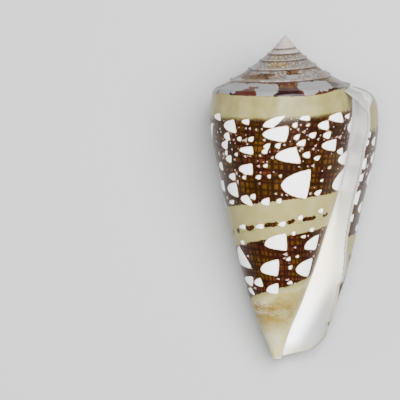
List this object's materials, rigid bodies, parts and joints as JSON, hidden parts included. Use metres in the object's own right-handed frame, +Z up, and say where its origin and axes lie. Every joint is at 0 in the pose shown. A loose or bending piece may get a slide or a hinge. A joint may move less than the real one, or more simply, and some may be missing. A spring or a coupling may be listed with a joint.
{
  "type": "cone shell",
  "caption": "Polished cone shell with a low pointed spire and a long narrow aperture, lying on its back.",
  "frame": {"origin": "centre of the bounding box, on the floor that the shell lies on", "axes": "+Y towards the spire, +Z up out of the aperture side, +X towards the outer lip"},
  "size_m": [0.032, 0.061, 0.0293],
  "materials": {
    "polished_shell": "glossy natural shell, dark brown with white tent marks and cream bands"
  },
  "bodies": {
    "root": {"shell": "polished_shell"}
  },
  "joints": []
}
